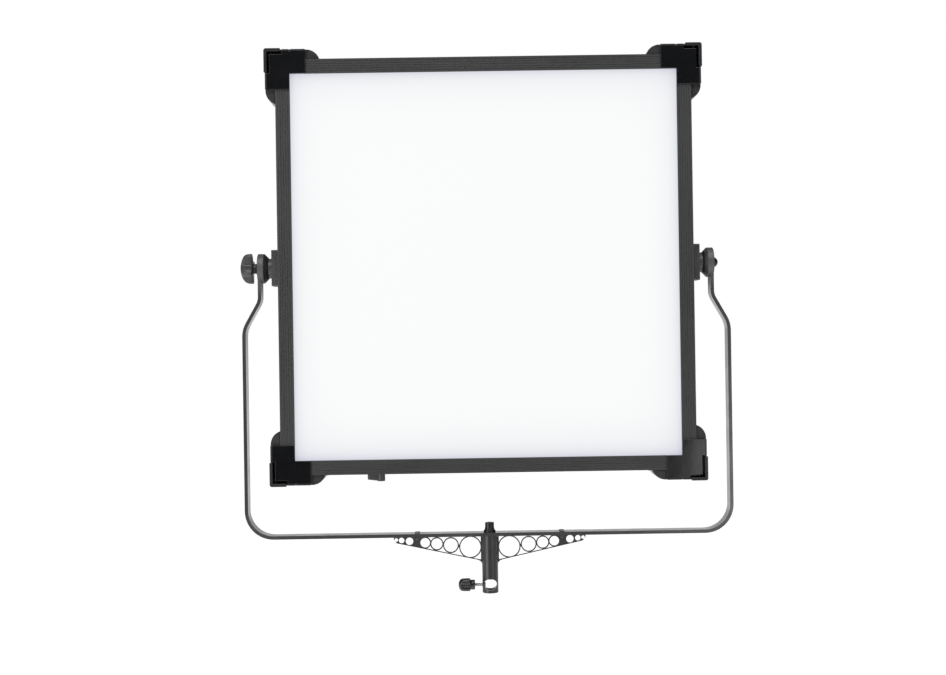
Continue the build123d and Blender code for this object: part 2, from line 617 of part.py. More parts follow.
def yoke_bar():
    """Flat bar bent into a U, joggled inwards below round ears that carry the pivots."""
    ear_x = EAR_IN + BAR_T / 2
    drop = PIVOT_Z - BAR_DROP
    half = [(ear_x, PIVOT_Z), (ear_x, PIVOT_Z - JOGGLE_TOP), (ARM_X, PIVOT_Z - JOGGLE_END), (ARM_X, drop)]
    points = [(x, 0, z) for x, z in half] + [(-x, 0, z) for x, z in reversed(half)]
    path = FilletPolyline(*points, radius=[*JOGGLE_R, CORNER_R, CORNER_R, *JOGGLE_R[::-1]])
    section = Rectangle(BAR_W, BAR_T, rotation=yoke_turn(path))
    bar = sweep(Plane(origin=path @ 0, z_dir=path % 0) * section, path)
    for side in (-1, 1):
        x = side * ear_x
        pad = rod_x(DISC_R, side * PAD_X, side * (EAR_IN + BAR_T), 0, PIVOT_Z)
        bar += chamfer(pad.edges().filter_by(GeomType.CIRCLE), 0.8)
        bar -= rod_x(PIVOT_R + RUN, x - 12, x + 12, 0, PIVOT_Z)
        for y in (-9.0, 9.0):
            bar -= rod_z(2.5, BAR_LOW - 1, BAR_TOP + 1, side * GUSSET_SCREW_X, y)
    return bar - rod_z(SCREW_R, BAR_LOW - 1, BAR_TOP + 1)


def yoke_turn(path):
    """Turn of the section so that its wide side lies along Y."""
    plane = Plane(origin=path @ 0, z_dir=path % 0)
    return 0 if abs(plane.x_dir.Y) > 0.5 else 90


def spigot_tube():
    """Tube with a blind socket for a stand's stud, a window through it and the clamp's cross hole."""
    tube = rod_z(TUBE_R, 0, BAR_LOW)
    tube = chamfer(tube.edges().filter_by(GeomType.CIRCLE).sort_by(Axis.Z)[0], 0.8)
    tube -= rod_z(SOCKET_R, -1, SOCKET_DEEP)
    tube -= rod_z(SCREW_R, BAR_LOW - 25, BAR_LOW + 1)
    window = Pos(0, 20, CLAMP_Z + 1) * Rot(90, 0, 0) * extrude(SlotOverall(WINDOW_W, WINDOW_H), 40)
    tube -= window
    tube -= rod_x(CLAMP_R + RUN, -TUBE_R - 1, 0, 0, CLAMP_Z)
    return tube - rod_x(4.3, -11.4, 0, 0, CLAMP_Z)


def gusset_depth(x):
    return GUSSET_TIP_DEPTH + (GUSSET_TIP - x) * GUSSET_SLOPE


def gusset():
    """Pierced plate under the crossbar: rings between two bands, with open triangles between the rings."""
    root = TUBE_R - 0.3
    foot_x = 30.0
    outline = Polyline((root, -52), (root, 0), (GUSSET_TIP, 0), (GUSSET_TIP, -5),
                       (GUSSET_TIP - 5, -gusset_depth(GUSSET_TIP - 5)), (foot_x, -gusset_depth(foot_x)))
    outline += Spline((foot_x, -gusset_depth(foot_x)), (root, -52), tangents=((-1, -GUSSET_SLOPE), (0, -1)))
    plate = make_face(outline)
    holes = [(x, gusset_depth(x) / 2, r) for x, r in GUSSET_HOLES]
    for (xa, da, ra), (xb, db, rb) in zip(holes, holes[1:]):
        if xa < GUSSET_SCREW_X < xb:
            continue
        if ra < 7:
            continue
        gap = make_face(Polyline((xa, -CHORD), (xb, -CHORD), (xb, CHORD - gusset_depth(xb)),
                                 (xa, CHORD - gusset_depth(xa)), close=True))
        gap -= Pos(xa, -da) * Circle(ra + RING)
        gap -= Pos(xb, -db) * Circle(rb + RING)
        gap -= Pos((xa + xb + ra - rb) / 2, -(da + db) / 2) * Rectangle(5, 5)
        plate -= gap
    x0, d0, r0 = holes[0]
    gap = make_face(Polyline((root + 2.2, -CHORD), (x0, -CHORD), (x0, CHORD - gusset_depth(x0)),
                             (24, CHORD - gusset_depth(24)), (root + 2.2, -42), close=True))
    gap -= Pos(x0, -d0) * Circle(r0 + RING)
    plate -= gap
    for x, d, r in holes:
        plate -= Pos(x, -d) * Circle(r)
    solid = extrude(Plane.XZ * plate, GUSSET_T / 2, both=True)
    foot = slab(GUSSET_SCREW_X - 8, GUSSET_SCREW_X + 8, -14, 14, -3, 0)
    for y in (-9.0, 9.0):
        foot -= rod_z(2.5, -4, 1, GUSSET_SCREW_X, y)
    solid += foot
    solid -= rod_z(TUBE_R, -60, 1)
    return Pos(0, 0, BAR_LOW) * solid


def gusset_screw(x, y):
    head = rod_z(4.4, BAR_TOP, BAR_TOP + 1.5, x, y)
    head = fillet(head.edges().filter_by(GeomType.CIRCLE).sort_by(Axis.Z)[-1], 0.9)
    head -= rod_z(1.5, BAR_TOP + 0.5, BAR_TOP + 3, x, y)
    return head + rod_z(2.5, BAR_LOW - 5, BAR_TOP, x, y)


def clamp_knob():
    """Four-lobed knob on the left of the tube; the neck faces the tube."""
    inner = -27.0
    long = 29.0
    grip = Circle(13.4)
    for k in range(4):
        grip -= Rot(0, 0, 90 * k) * Pos(15.6, 0) * Circle(7.2)
    solid = extrude(Plane.YZ * grip, long - 8)
    solid = fillet(solid.edges().filter_by(Axis.X), 1.2)
    dome = 16.0
    solid = (Pos(8, 0, 0) * solid) & (Pos(long - dome, 0, 0) * Sphere(dome))
    solid += rod_x(8.8, 0, 9)
    solid -= rod_x(CLAMP_R, -1, 16)
    return Pos(inner, 0, CLAMP_Z) * mirror(solid, Plane.YZ)


def make_yoke():
    save("yoke_bar", yoke_bar())
    save("spigot_tube", spigot_tube())
    right = gusset()
    save("gusset_right", right)
    save("gusset_left", mirror(right, Plane.YZ))
    screws = [gusset_screw(side * GUSSET_SCREW_X, y) for side in (-1, 1) for y in (-9.0, 9.0)]
    save("gusset_screws", group(screws))
    collar = rod_z(10.5, BAR_TOP, BAR_TOP + 4.5)
    collar = chamfer(collar.edges().filter_by(GeomType.CIRCLE).sort_by(Axis.Z)[-1], 1.6)
    save("spigot_collar", collar - rod_z(SCREW_R, BAR_TOP - 1, BAR_TOP + 6))
    z = BAR_TOP + 4.5
    washer = rod_z(8.6, z, z + 2.6) - rod_z(SCREW_R, z - 1, z + 4) - slab(4, 10, -0.6, 0.6, z - 1, z + 4)
    save("lock_washer", washer)
    z += 2.6
    head = rod_z(8.0, z, z + 10)
    head = chamfer(head.edges().filter_by(GeomType.CIRCLE).sort_by(Axis.Z)[-1], 0.8)
    head -= Pos(0, 0, z + 4) * extrude(RegularPolygon(4.6, 6), 8)
    save("cap_screw", head + rod_z(SCREW_R, BAR_LOW - 24, z))
    save("clamp_knob", clamp_knob())
    save("clamp_stud", rod_x(CLAMP_R, -27.0 - 16, -11.3, 0, CLAMP_Z))
    save("clamp_pad", rod_x(4.0, -11.3, -8.3, 0, CLAMP_Z))


make_rails()
make_corners()
make_light_engine()
make_controls()
make_pivots()
make_latch()
make_yoke()
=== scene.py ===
"""Looks of the LED panel light: materials, fine pieces, floor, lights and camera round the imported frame."""

import json
import math

import bmesh
import bpy
from mathutils import Matrix, Vector


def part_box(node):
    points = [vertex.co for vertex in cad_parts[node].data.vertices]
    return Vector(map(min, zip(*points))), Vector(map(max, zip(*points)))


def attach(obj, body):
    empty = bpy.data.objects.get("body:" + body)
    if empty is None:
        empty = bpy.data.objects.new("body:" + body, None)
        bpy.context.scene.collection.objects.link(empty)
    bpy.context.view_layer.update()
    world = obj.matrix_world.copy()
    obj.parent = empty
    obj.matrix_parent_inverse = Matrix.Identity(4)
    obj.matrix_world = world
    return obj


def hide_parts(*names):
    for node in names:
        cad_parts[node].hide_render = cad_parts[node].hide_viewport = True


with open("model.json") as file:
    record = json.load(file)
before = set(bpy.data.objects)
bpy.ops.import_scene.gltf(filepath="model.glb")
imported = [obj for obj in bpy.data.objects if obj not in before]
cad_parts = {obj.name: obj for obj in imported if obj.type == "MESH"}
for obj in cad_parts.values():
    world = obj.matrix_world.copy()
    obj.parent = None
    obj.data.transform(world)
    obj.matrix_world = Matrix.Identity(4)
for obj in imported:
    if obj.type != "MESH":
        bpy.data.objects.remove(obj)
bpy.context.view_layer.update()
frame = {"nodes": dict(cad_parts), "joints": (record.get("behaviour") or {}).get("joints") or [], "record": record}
NODES = frame["nodes"]
RECORD = frame["record"]
SLOT_OF = {s["node"]: s["material_slot"] for s in RECORD["subparts"]}
JOINTS = {j["name"]: j for j in frame["joints"]}
PIVOT_Z = JOINTS["panel_tilt"]["pos_m"][2]

# Lengths are in metres. The opening between the rails is centred on X 0 and on the pivots' height.
HALF_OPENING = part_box("rail_right")[0].x
COVER_LIP = 0.0054
# Width of the painted shadow ring on the right friction cone.
CONE_SHADOW_RING = 0.0032
GLOW_RISE = 0.0015
INK = 0.00004
INK_LINE = 0.00025


# ---------------------------------------------------------------- material building

class Paint:
    """A Principled material with short ways to add noise, grooves, wear and bump."""

    def __init__(self, name, color, rough, metal=0.0, **values):
        self.mat = bpy.data.materials.new(name)
        self.mat.use_nodes = True
        self.tree = self.mat.node_tree
        self.shader = self.tree.nodes["Principled BSDF"]
        self.color = (*color, 1.0)
        self.shader.inputs["Base Color"].default_value = self.color
        self.shader.inputs["Roughness"].default_value = rough
        self.shader.inputs["Metallic"].default_value = metal
        for socket, value in values.items():
            self.shader.inputs[socket.replace("_", " ")].default_value = value
        self.coords = self.node("ShaderNodeTexCoord").outputs["Object"]

    def node(self, kind, **settings):
        made = self.tree.nodes.new(kind)
        for key, value in settings.items():
            setattr(made, key, value)
        return made

    def link(self, source, target):
        self.tree.links.new(source, target)

    def stretched(self, scale):
        """Object coordinates scaled by a vector, which draws a texture out along an axis."""
        mapping = self.node("ShaderNodeMapping")
        mapping.inputs["Scale"].default_value = scale
        self.link(self.coords, mapping.inputs["Vector"])
        return mapping.outputs["Vector"]

    def noise(self, scale, detail=3.0, stretch=(1, 1, 1), rough=0.55):
        tex = self.node("ShaderNodeTexNoise")
        tex.inputs["Scale"].default_value = scale
        tex.inputs["Detail"].default_value = detail
        tex.inputs["Roughness"].default_value = rough
        self.link(self.stretched(stretch), tex.inputs["Vector"])
        return tex.outputs["Fac"]

    def cells(self, scale, stretch=(1, 1, 1)):
        tex = self.node("ShaderNodeTexVoronoi")
        tex.inputs["Scale"].default_value = scale
        self.link(self.stretched(stretch), tex.inputs["Vector"])
        return tex.outputs["Distance"]

    def remap(self, value, low, high, to_low, to_high):
        made = self.node("ShaderNodeMapRange")
        self.link(value, made.inputs["Value"])
        limits = {"From Min": low, "From Max": high, "To Min": to_low, "To Max": to_high}
        for socket, number in limits.items():
            made.inputs[socket].default_value = number
        return made.outputs["Result"]

    def math(self, operation, a, b=None):
        made = self.node("ShaderNodeMath", operation=operation)
        for socket, value in zip(made.inputs, (a, b)):
            if value is None:
                continue
            if isinstance(value, (int, float)):
                socket.default_value = value
            else:
                self.link(value, socket)
        return made.outputs["Value"]

    def mix(self, factor, a, b):
        """Colour from a to b; each is a tuple or a socket."""
        made = self.node("ShaderNodeMix", data_type="RGBA")
        self.link(factor, made.inputs["Factor"])
        for socket, value in ((made.inputs["A"], a), (made.inputs["B"], b)):
            if isinstance(value, tuple):
                socket.default_value = value if len(value) == 4 else (*value, 1.0)
            else:
                self.link(value, socket)
        return made.outputs["Result"]

    def edges(self, radius=0.0012, strength=6.0):
        """0 on flat faces, up to 1 along sharp edges."""
        bevel = self.node("ShaderNodeBevel", samples=6)
        bevel.inputs["Radius"].default_value = radius
        geometry = self.node("ShaderNodeNewGeometry")
        dot = self.node("ShaderNodeVectorMath", operation="DOT_PRODUCT")
        self.link(bevel.outputs["Normal"], dot.inputs[0])
        self.link(geometry.outputs["Normal"], dot.inputs[1])
        return self.remap(dot.outputs["Value"], 1.0, 1.0 - 1.0 / strength, 0.0, 1.0)

    def shade(self, value, low, high):
        """Colour that swings between two multiples of the base colour with a noise value."""
        dark = tuple(c * low for c in self.color[:3])
        light = tuple(c * high for c in self.color[:3])
        return self.mix(self.remap(value, 0.3, 0.7, 0.0, 1.0), dark, light)

    def set_color(self, socket):
        self.link(socket, self.shader.inputs["Base Color"])

    def set_rough(self, value, low, high):
        self.link(self.remap(value, 0.3, 0.7, low, high), self.shader.inputs["Roughness"])

    def bump(self, height, depth, last=None):
        made = self.node("ShaderNodeBump")
        made.inputs["Distance"].default_value = depth
        self.link(height, made.inputs["Height"])
        if last is not None:
            self.link(last, made.inputs["Normal"])
        self.link(made.outputs["Normal"], self.shader.inputs["Normal"])
        return made.outputs["Normal"]


def worn(paint, base, wear_color, amount, radius=0.0012):
    """Base colour with the edges worn towards another colour, broken up by noise."""
    chips = paint.remap(paint.noise(420, 4), 0.45, 0.62, 0.0, amount)
    mask = paint.math("MULTIPLY", paint.edges(radius), chips)
    return paint.mix(mask, base, wear_color)


def anodised(name, color, rough, along):
    """Dark anodised extrusion: hair lines drawn out along its length, faint blotches."""
    stretch = {"X": (0.02, 1, 1), "Z": (1, 1, 0.02)}[along]
    p = Paint(name, color, rough, 0.25, Specular_IOR_Level=0.45)
    lines = p.noise(1400, 2, stretch)
    cloud = p.noise(9, 3)
    streak = p.remap(lines, 0.3, 0.7, 0.0, 0.6)
    base = p.mix(streak, p.shade(cloud, 0.85, 1.12), tuple(c * 1.35 for c in color))
    p.set_color(worn(p, base, tuple(c * 3.5 for c in color), 0.5, 0.0006))
    p.set_rough(p.noise(60, 4, stretch), rough - 0.07, rough + 0.09)
    p.bump(lines, 0.00006)
    return p.mat


def powder_coat(name, color, rough, grain=900.0, depth=0.00012):
    """Fine orange-peel paint, a little lighter and smoother where hands and edges rub it."""
    p = Paint(name, color, rough, 0.0, Specular_IOR_Level=0.5)
    peel = p.noise(grain, 3)
    p.set_color(worn(p, p.shade(p.noise(14, 4), 0.86, 1.14), tuple(c * 3.0 + 0.02 for c in color), 0.6))
    p.set_rough(p.noise(30, 5), rough - 0.08, rough + 0.08)
    p.bump(peel, depth)
    return p.mat


def moulded(name, color, rough, grain=1500.0, depth=0.00005):
    """Injection-moulded plastic with a fine spark-eroded grain."""
    p = Paint(name, color, rough, 0.0, Specular_IOR_Level=0.5)
    edge = tuple(c * 2.2 + 0.01 for c in color)
    p.set_color(worn(p, p.shade(p.noise(25, 3), 0.88, 1.15), edge, 0.5, 0.0008))
    p.set_rough(p.noise(80, 4), rough - 0.06, rough + 0.07)
    p.bump(p.cells(grain), depth)
    return p.mat


def gloss_black(name, color, rim=None):
    """Polished black plastic with hairline scratches and a little dust. Further than rim from the frame's middle
    it is rougher and painted a lighter grey, a painted sheen that stands for the light the rims catch."""
    p = Paint(name, color, 0.12, 0.0, Specular_IOR_Level=0.42, Coat_Weight=0.25, Coat_Roughness=0.05)
    dust = p.remap(p.noise(520, 2), 0.66, 0.8, 0.0, 0.35)
    base = p.mix(dust, color, (0.06, 0.06, 0.062))
    rough = p.remap(p.noise(18, 5), 0.3, 0.7, 0.10, 0.2)
    if rim is not None:
        split = p.node("ShaderNodeSeparateXYZ")
        p.link(p.coords, split.inputs[0])
        level = p.math("ABSOLUTE", p.math("SUBTRACT", split.outputs["Z"], PIVOT_Z))
        reach = p.math("MAXIMUM", p.math("ABSOLUTE", split.outputs["X"]), level)
        satin_and_painted_light = p.remap(reach, rim, rim + 0.0002, 0.0, 1.0)
        # Painted light: the rims get a lighter grey colour standing for the light they catch; only the added
        # roughness is real.
        base = p.mix(satin_and_painted_light, base, (0.009, 0.009, 0.0095))
        rough = p.math("ADD", rough, p.math("MULTIPLY", satin_and_painted_light, 0.25))
    p.set_color(worn(p, base, (0.05, 0.05, 0.052), 0.5, 0.0008))
    p.link(rough, p.shader.inputs["Roughness"])
    first = p.bump(p.noise(26, 2), 0.0002)
    p.bump(p.noise(300, 2, (1, 1, 0.06)), 0.000012, first)
    return p.mat


def yoke_coat(name, color):
    """Satin coat of the bent bar, duller on the round pads that the pivots clamp."""
    p = Paint(name, color, 0.2, 0.0, Specular_IOR_Level=0.75)
    split = p.node("ShaderNodeSeparateXYZ")
    p.link(p.coords, split.inputs[0])
    pad_below, pad_edge = PIVOT_Z - 0.05, PIVOT_Z - 0.03
    pad = p.remap(split.outputs["Z"], pad_below, pad_edge, 0.0, 0.3)
    rough = p.remap(p.noise(30, 5), 0.3, 0.7, 0.14, 0.28)
    p.set_color(worn(p, p.shade(p.noise(14, 4), 0.9, 1.1), (0.11, 0.11, 0.112), 0.6))
    p.link(p.math("ADD", rough, pad), p.shader.inputs["Roughness"])
    p.bump(p.noise(1100, 3), 0.00001)
    return p.mat


def cone_painted_light_coat(name):
    """Friction cone painted grey as the lit look of the black friction cone, with a black painted shadow ring at
    its end next to the panel.
    """
    p = Paint(name, (0.036, 0.036, 0.037), 0.5)
    split = p.node("ShaderNodeSeparateXYZ")
    p.link(p.coords, split.inputs[0])
    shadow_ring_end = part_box("friction_disc_right")[0].x + CONE_SHADOW_RING
    # Painted shadow: a black ring where shade falls in the gap next to the boss.
    ring = p.remap(split.outputs["X"], shadow_ring_end, shadow_ring_end + 0.0008, 1.0, 0.0)
    p.set_color(p.mix(ring, p.shade(p.noise(60, 3), 0.9, 1.1), (0.006, 0.006, 0.0065)))
    p.bump(p.noise(700, 3), 0.00003)
    return p.mat


def turned(name, color, rough, metal=1.0, ring=2600.0, axis="Z"):
    """Metal with fine lathe rings across its axis."""
    stretch = {"X": (1, 0.01, 0.01), "Y": (0.01, 1, 0.01), "Z": (0.01, 0.01, 1)}[axis]
    p = Paint(name, color, rough, metal, Specular_IOR_Level=0.5)
    rings = p.noise(ring, 2, stretch)
    edge = tuple(min(1, c * 2.5 + 0.03) for c in color)
    p.set_color(worn(p, p.shade(p.noise(40, 3), 0.88, 1.12), edge, 0.6, 0.0006))
    p.set_rough(p.noise(70, 4), rough - 0.07, rough + 0.08)
    p.bump(rings, 0.00003)
    return p.mat


def diffuser_material():
    """Opal sheet: it glows evenly and dims softly in a few centimetres along its edges, a little more
    along the lower one."""
    p = Paint("diffuser_opal", (0.05, 0.05, 0.05), 0.5, 0.0, Specular_IOR_Level=0.2)
    split = p.node("ShaderNodeSeparateXYZ")
    p.link(p.coords, split.inputs[0])
    glow = p.remap(p.noise(2200, 2), 0.3, 0.7, 0.997, 1.003)
    middle_z = p.math("SUBTRACT", split.outputs["Z"], PIVOT_Z + GLOW_RISE)
    narrow_fade, side_fade, level_fade = (0.157, 0.0087), (0.085, 0.030), (0.142, 0.034)
    for side, wide_fade in ((split.outputs["X"], side_fade), (middle_z, level_fade)):
        inside = p.math("SUBTRACT", HALF_OPENING, p.math("ABSOLUTE", side))
        for amount, reach in (narrow_fade, wide_fade):
            fade = p.math("EXPONENT", p.math("DIVIDE", inside, -reach))
            glow = p.math("MULTIPLY", glow, p.math("SUBTRACT", 1.0, p.math("MULTIPLY", fade, amount)))
    p.link(p.mix(glow, (0.0, 0.0, 0.28), (0.985, 0.995, 0.991)), p.shader.inputs["Emission Color"])
    p.shader.inputs["Emission Strength"].default_value = 0.894
    p.bump(p.noise(900, 2), 0.00002)
    return p.mat


def circuit_material():
    p = Paint("circuit_board", (0.02, 0.13, 0.05), 0.35, 0.0, Coat_Weight=0.3)
    tracks = p.cells(260)
    p.set_color(p.mix(p.remap(tracks, 0.1, 0.16, 1.0, 0.0), (0.02, 0.13, 0.05), (0.05, 0.22, 0.09)))
    p.bump(tracks, 0.00003)
    return p.mat


MATERIALS = {
    "rail_x": anodised("rail_anodised_x", (0.034, 0.034, 0.0345), 0.42, "X"),
    "rail_z": anodised("rail_anodised_z", (0.036, 0.036, 0.0365), 0.42, "Z"),
    # Cover plastic: glossy black with a painted lighter rim standing for the light the rims catch.
    "cover_plastic": gloss_black("cover_gloss_black", (0.004, 0.0042, 0.005),
                                 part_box("corner_cover_top_right")[1].x - COVER_LIP),
    "bracket_metal": powder_coat("bracket_powder_coat", (0.018, 0.018, 0.0192), 0.36),
    "block": powder_coat("block_coat", (0.04, 0.04, 0.041), 0.4),
    "black_screw": turned("black_oxide", (0.016, 0.016, 0.018), 0.24, 0.5),
    "gasket_foam": powder_coat("gasket_foam", (0.72, 0.72, 0.74), 0.8, 1500.0, 0.0002),
    "diffuser_sheet": diffuser_material(),
    "reflector_white": powder_coat("reflector_white", (0.85, 0.85, 0.85), 0.6),
    "circuit_board": circuit_material(),
    "led": moulded("led_phosphor", (0.8, 0.62, 0.12), 0.3),
    "bare_aluminium": turned("mill_aluminium", (0.6, 0.61, 0.63), 0.38, 1.0, 900.0, "X"),
    "case_metal": powder_coat("case_powder_coat", (0.03, 0.03, 0.0315), 0.52, 700.0, 0.0002),
    "plate_metal": powder_coat("plate_anodised", (0.006, 0.006, 0.0065), 0.34, 1600.0, 0.00003),
    "display_glass": gloss_black("display_glass", (0.004, 0.005, 0.007)),
    "knob_plastic": moulded("knob_plastic", (0.028, 0.028, 0.029), 0.42),
    "switch_red": moulded("switch_red", (0.33, 0.012, 0.01), 0.22),
    "connector_metal": turned("connector_nickel", (0.16, 0.16, 0.165), 0.3, 1.0, 2000.0, "Y"),
    "friction_fibre": moulded("friction_fibre", (0.006, 0.006, 0.0065), 0.6, 700.0, 0.0001),
    "washer_steel": turned("washer_black_oxide", (0.03, 0.03, 0.031), 0.34, 0.85),
    # Right friction cone: painted lit grey with a painted shadow ring, standing for light and shade on the black
    # cone.
    "cone": cone_painted_light_coat("friction_cone"),
    "clamp_plastic": moulded("clamp_knob_plastic", (0.006, 0.006, 0.0065), 0.26, 1500.0, 0.00001),
    "yoke_metal": yoke_coat("yoke_satin_coat", (0.036, 0.036, 0.037)),
    "tube_metal": turned("tube_anodised", (0.018, 0.018, 0.019), 0.3, 0.15),
    "gusset_steel": powder_coat("gusset_powder_coat", (0.02, 0.02, 0.021), 0.42),
    "stud_steel": turned("stud_zinc", (0.42, 0.42, 0.44), 0.3, 1.0, 2600.0, "X"),
}


def ink_material():
    p = Paint("white_ink", (0.72, 0.72, 0.7), 0.5)
    p.set_color(p.shade(p.noise(900, 3), 0.8, 1.1))
    p.bump(p.noise(1800, 2), 0.00001)
    return p.mat


def glow_material():
    p = Paint("display_glow", (0.1, 0.35, 0.45), 0.4)
    p.link(p.shade(p.noise(600, 2), 0.9, 1.1), p.shader.inputs["Emission Color"])
    p.shader.inputs["Emission Strength"].default_value = 1.6
    return p.mat


MATERIALS["white_ink"] = ink_material()
MATERIALS["display_glow"] = glow_material()


def material_for(node):
    if node in ("rail_top", "rail_bottom"):
        return MATERIALS["rail_x"]
    if node in ("rail_left", "rail_right"):
        return MATERIALS["rail_z"]
    if node.startswith("pivot_block_") and not node.endswith("screws"):
        return MATERIALS["block"]
    # The right friction disc gets the painted light grey and the painted shadow ring.
    if node == "friction_disc_right":
        return MATERIALS["cone"]
    if node == "gusset_screws":
        return MATERIALS["yoke_metal"]
    return MATERIALS[SLOT_OF[node]]


# ---------------------------------------------------------------- carried-over CAD nodes

def soften(obj, width, segments=2):
    """Round the sharp edges of a CAD node by a small real bevel and even out its shading."""
    weld = obj.modifiers.new("weld", "WELD")
    weld.merge_threshold = 0.00001
    flat = obj.modifiers.new("flat", "DECIMATE")
    flat.decimate_type = "DISSOLVE"
    flat.angle_limit = math.radians(0.6)
    bevel = obj.modifiers.new("edges", "BEVEL")
    bevel.width = width
    bevel.segments = segments
    bevel.limit_method = "ANGLE"
    bevel.angle_limit = math.radians(32)
    bevel.use_clamp_overlap = True
    normals = obj.modifiers.new("normals", "WEIGHTED_NORMAL")
    normals.keep_sharp = False
    for polygon in obj.data.polygons:
        polygon.use_smooth = True


BEVELS = {"corner_cover": 0.0006, "corner_bracket": 0.0008, "rail": 0.0002, "control_housing": 0.0004,
          "control_plate": 0.0003, "yoke_bar": 0.0006, "pivot_block": 0.0004, "pivot_bolt": 0.0003,
          "friction_disc": 0.0003, "latch_lever": 0.0003, "spigot": 0.0003, "cap_screw": 0.0003,
          "gusset": 0.0002, "lock_washer": 0.0002, "power_": 0.0002, "data_sockets": 0.0002,
          "menu_button": 0.0003, "mode_button": 0.0003, "rear_cover": 0.0002, "tilt_washer": 0.0002}

for name, obj in NODES.items():
    obj.data.materials.clear()
    obj.data.materials.append(material_for(name))


# ---------------------------------------------------------------- finer pieces

def add_mesh(name, mesh, material, body, replaced=()):
    """Put a bmesh into the scene as a piece of a body."""
    data = bpy.data.meshes.new(name)
    bmesh.ops.recalc_face_normals(mesh, faces=mesh.faces)
    mesh.to_mesh(data)
    mesh.free()
    for polygon in data.polygons:
        polygon.use_smooth = True
    obj = bpy.data.objects.new(name, data)
    bpy.context.scene.collection.objects.link(obj)
    data.materials.append(material)
    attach(obj, body)
    if replaced:
        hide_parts(*replaced)


def skin(rings):
    """Closed bmesh through rings of equally many points, capped at both ends."""
    mesh = bmesh.new()
    rows = [[mesh.verts.new(p) for p in ring] for ring in rings]
    count = len(rows[0])
    for low, high in zip(rows, rows[1:]):
        for k in range(count):
            mesh.faces.new((low[k], low[(k + 1) % count], high[(k + 1) % count], high[k]))
    mesh.faces.new(rows[0])
    mesh.faces.new(rows[-1])
    return mesh


def around(centre, axis, side, radius_at, stations, count):
    """Rings about an axis. radius_at(angle, distance) gives the radius; the angle starts at side."""
    axis, side = Vector(axis), Vector(side)
    other = axis.cross(side)
    rings = []
    for distance in stations:
        ring = []
        for k in range(count):
            angle = 2 * math.pi * k / count
            out = side * math.cos(angle) + other * math.sin(angle)
            ring.append(Vector(centre) + axis * distance + out * radius_at(angle, distance))
        rings.append(ring)
    return rings


def smooth_min(*values, power=9.0):
    return sum(max(v, 1e-6) ** -power for v in values) ** (-1 / power)


def lobed_knob(name, node, side, tip, valley, fullness, neck, dome, material):
    """Hand knob with four lobes, a domed end and a neck, pointing along -X. Tip and valley are the
    radii of the lobes and between them, and the lobes are wider where fullness is higher. Neck is the
    neck's length, and dome the radius of the end's curve."""
    lo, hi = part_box(node)
    axis = Vector((-1, 0, 0))
    neck_radius, neck_round, cap_end = 0.0087, 0.002, 0.003
    length = hi.x - lo.x
    centre = (lo + hi) / 2 - axis * length / 2

    def radius(angle, distance):
        wave = abs(math.sin(2 * angle)) ** fullness
        grip = tip - (tip - valley) * wave
        rounding = max(0.0, neck + neck_round - distance)
        inner = math.sqrt(max(1e-12, neck_round ** 2 - rounding ** 2)) - neck_round
        outer = length - distance
        cap = math.sqrt(max(1e-12, 2 * dome * outer - outer * outer))
        if distance <= neck:
            return neck_radius
        body = smooth_min(grip + inner, cap)
        return max(neck_radius, body) if distance < length - cap_end else body

    stations = [0.0, neck * 0.5, neck]
    steps = 26
    grip_length = length - neck
    stations += [neck + grip_length * (0.5 - 0.5 * math.cos(math.pi * k / steps)) for k in range(1, steps)]
    stations.append(length - 0.00004)
    rings = around(centre, axis, side, radius, stations, 96)
    add_mesh(name, skin(rings), MATERIALS[material], node, (node,))


def thread(name, node, body, pitch, depth, material):
    """Screw along X with a real helical thread over its whole visible length."""
    lo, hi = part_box(node)
    axis, side = Vector((1, 0, 0)), Vector((0, 0, 1))
    length = hi.x - lo.x
    outer = max(hi.y - lo.y, hi.z - lo.z) / 2
    centre = (lo + hi) / 2 - axis * length / 2

    def radius(angle, distance):
        turn = (distance / pitch - angle / (2 * math.pi)) % 1.0
        end = min(1.0, distance / pitch, (length - distance) / pitch)
        return outer - depth * (abs(2 * turn - 1) * end + 1 - end)

    steps = int(length / pitch * 8)
    rings = around(centre, axis, side, radius, [length * k / steps for k in range(steps + 1)], 32)
    add_mesh(name, skin(rings), MATERIALS[material], body, (node,))


def ridged_knob(name, node, ridges):
    """Control knob with fine ridges round its side, a chamfered face and a shallow dish."""
    lo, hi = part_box(node)
    radius = (hi.x - lo.x) / 2
    length = hi.y - lo.y
    centre = Vector(((lo.x + hi.x) / 2, lo.y, (lo.z + hi.z) / 2))

    def side(angle, distance):
        ripple = 0.035 * abs(math.sin(ridges * angle / 2)) if 0.0015 < distance < length - 0.001 else 0.0
        edge = max(0.0, distance - (length - 0.0012))
        return radius * (1 - ripple) - edge

    stations = [0.0, 0.0012, 0.0017, length / 2, length - 0.0014, length - 0.0009, length]
    rings = around(centre, (0, 1, 0), (1, 0, 0), side, stations, 6 * ridges)
    face = centre + Vector((0, length, 0))
    for inner, sink in ((0.72, 0.0), (0.66, 0.0004), (0.1, 0.0006)):
        rings.append([face + (p - face) * inner - Vector((0, sink, 0)) for p in rings[6]])
    add_mesh(name, skin(rings), MATERIALS["knob_plastic"], node, (node,))
    mark = bmesh.new()
    bar(mark, centre + Vector((0, length - 0.0001, radius * 0.83)), (0.0009, 0.0002, radius * 0.16))
    add_mesh(name + "_pointer", mark, MATERIALS["white_ink"], node)


def bar(mesh, centre, half, turn=0.0, about=None):
    """Add a thin bar to a bmesh; turn rotates it about a Y axis through a point."""
    made = bmesh.ops.create_cube(mesh, size=2.0)["verts"]
    place = Matrix.Translation(centre) @ Matrix.Diagonal((*half, 1.0))
    if about is not None:
        spin = Matrix.Translation(about) @ Matrix.Rotation(turn, 4, "Y") @ Matrix.Translation(-about)
        place = spin @ place
    bmesh.ops.transform(mesh, matrix=place, verts=made)


